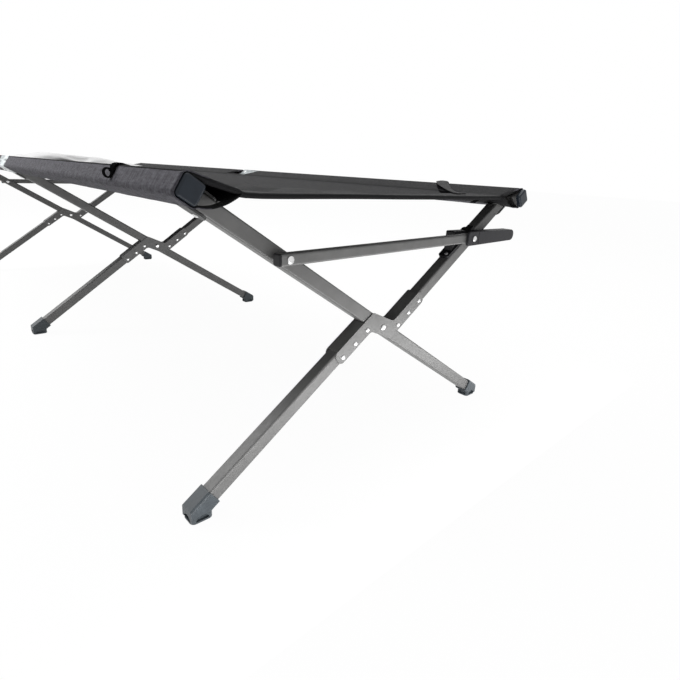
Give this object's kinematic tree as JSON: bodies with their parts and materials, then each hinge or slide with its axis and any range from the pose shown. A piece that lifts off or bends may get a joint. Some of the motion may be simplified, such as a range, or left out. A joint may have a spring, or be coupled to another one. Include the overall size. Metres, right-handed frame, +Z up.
{
  "type": "folding camp cot",
  "caption": "Folding camp cot on scissor leg frames with latched spreader bars, jointed side rails and a fabric bed with a head pillow.",
  "frame": {"origin": "on the floor under the middle of the cot", "axes": "+Y along the cot from the foot end to the head end, +X to the right seen from the foot end, +Z up"},
  "size_m": [0.699, 1.89, 0.4633],
  "materials": {
    "coated_tube": "satin",
    "coated_bracket": "satin",
    "satin_bar": "satin",
    "bright_steel": "bright",
    "blue_grey_moulding": "satin",
    "black_moulding": "satin",
    "heather_cloth": "heathered weave",
    "charcoal_cloth": "woven",
    "pale_cloth": "woven"
  },
  "bodies": {
    "left_frame": {"bed_panel": "charcoal_cloth", "foot_a_far": "blue_grey_moulding", "foot_a_mid": "blue_grey_moulding", "foot_a_near": "blue_grey_moulding", "head_pillow": "pale_cloth", "hub_pins": "bright_steel", "left_cap_far": "blue_grey_moulding", "left_cap_near": "blue_grey_moulding", "left_rail_far": "coated_tube", "left_rail_joint": "bright_steel", "left_rail_near": "coated_tube", "left_rail_rivets": "bright_steel", "left_sleeve_far": "heather_cloth", "left_sleeve_near": "heather_cloth", "leg_a_far": "coated_tube", "leg_a_mid": "coated_tube", "leg_a_near": "coated_tube", "rail_bracket_a_far": "coated_bracket", "rail_bracket_a_mid": "coated_bracket", "rail_bracket_a_near": "coated_bracket", "spreader_rivets": "bright_steel", "spreader_spacers": "coated_bracket"},
    "right_frame": {"catch_rivets": "bright_steel", "foot_b_far": "blue_grey_moulding", "foot_b_mid": "blue_grey_moulding", "foot_b_near": "blue_grey_moulding", "hub_bracket_far": "coated_bracket", "hub_bracket_mid": "coated_bracket", "hub_bracket_near": "coated_bracket", "hub_rivets": "bright_steel", "latch_catch_far": "black_moulding", "latch_catch_near": "black_moulding", "leg_b_lower_far": "coated_tube", "leg_b_lower_mid": "coated_tube", "leg_b_lower_near": "coated_tube", "leg_b_upper_far": "coated_tube", "leg_b_upper_mid": "coated_tube", "leg_b_upper_near": "coated_tube", "rail_bracket_b_far": "coated_bracket", "rail_bracket_b_mid": "coated_bracket", "rail_bracket_b_near": "coated_bracket", "right_cap_far": "blue_grey_moulding", "right_cap_near": "blue_grey_moulding", "right_rail_far": "coated_tube", "right_rail_joint": "bright_steel", "right_rail_near": "coated_tube", "right_rail_rivets": "bright_steel", "right_sleeve_far": "heather_cloth", "right_sleeve_near": "heather_cloth"},
    "near_spreader": {"lever_rivet_near": "bright_steel", "spreader_bar_near": "satin_bar", "spreader_plug_near": "black_moulding"},
    "near_lever": {"latch_lever_near": "black_moulding"},
    "far_spreader": {"lever_rivet_far": "bright_steel", "spreader_bar_far": "satin_bar", "spreader_plug_far": "black_moulding"},
    "far_lever": {"latch_lever_far": "black_moulding"}
  },
  "joints": [
    {"name": "scissor_fold", "type": "hinge", "parent": "left_frame", "child": "right_frame", "pos_m": [-0.00043, 0, 0.212], "axis": [0, -1, 0], "range_deg": [0, 100], "deforming": ["bed_panel", "head_pillow"]},
    {"name": "near_spreader_swing", "type": "hinge", "parent": "left_frame", "child": "near_spreader", "pos_m": [-0.20458, -0.9, 0.34007], "axis": [0, 1, 0], "range_deg": [0, 33.3]},
    {"name": "near_lever_turn", "type": "hinge", "parent": "near_spreader", "child": "near_lever", "pos_m": [0.19482, -0.9, 0.34878], "axis": [0, 1, 0], "range_deg": [0, 100]},
    {"name": "far_spreader_swing", "type": "hinge", "parent": "left_frame", "child": "far_spreader", "pos_m": [-0.20458, 0.9, 0.34007], "axis": [0, 1, 0], "range_deg": [0, 33.3]},
    {"name": "far_lever_turn", "type": "hinge", "parent": "far_spreader", "child": "far_lever", "pos_m": [0.19482, 0.9, 0.34878], "axis": [0, 1, 0], "range_deg": [0, 100]}
  ],
  "couplings": [
    {"joint": "near_spreader_swing", "follows": "scissor_fold", "ratio": 0.333},
    {"joint": "far_spreader_swing", "follows": "scissor_fold", "ratio": 0.333}
  ]
}
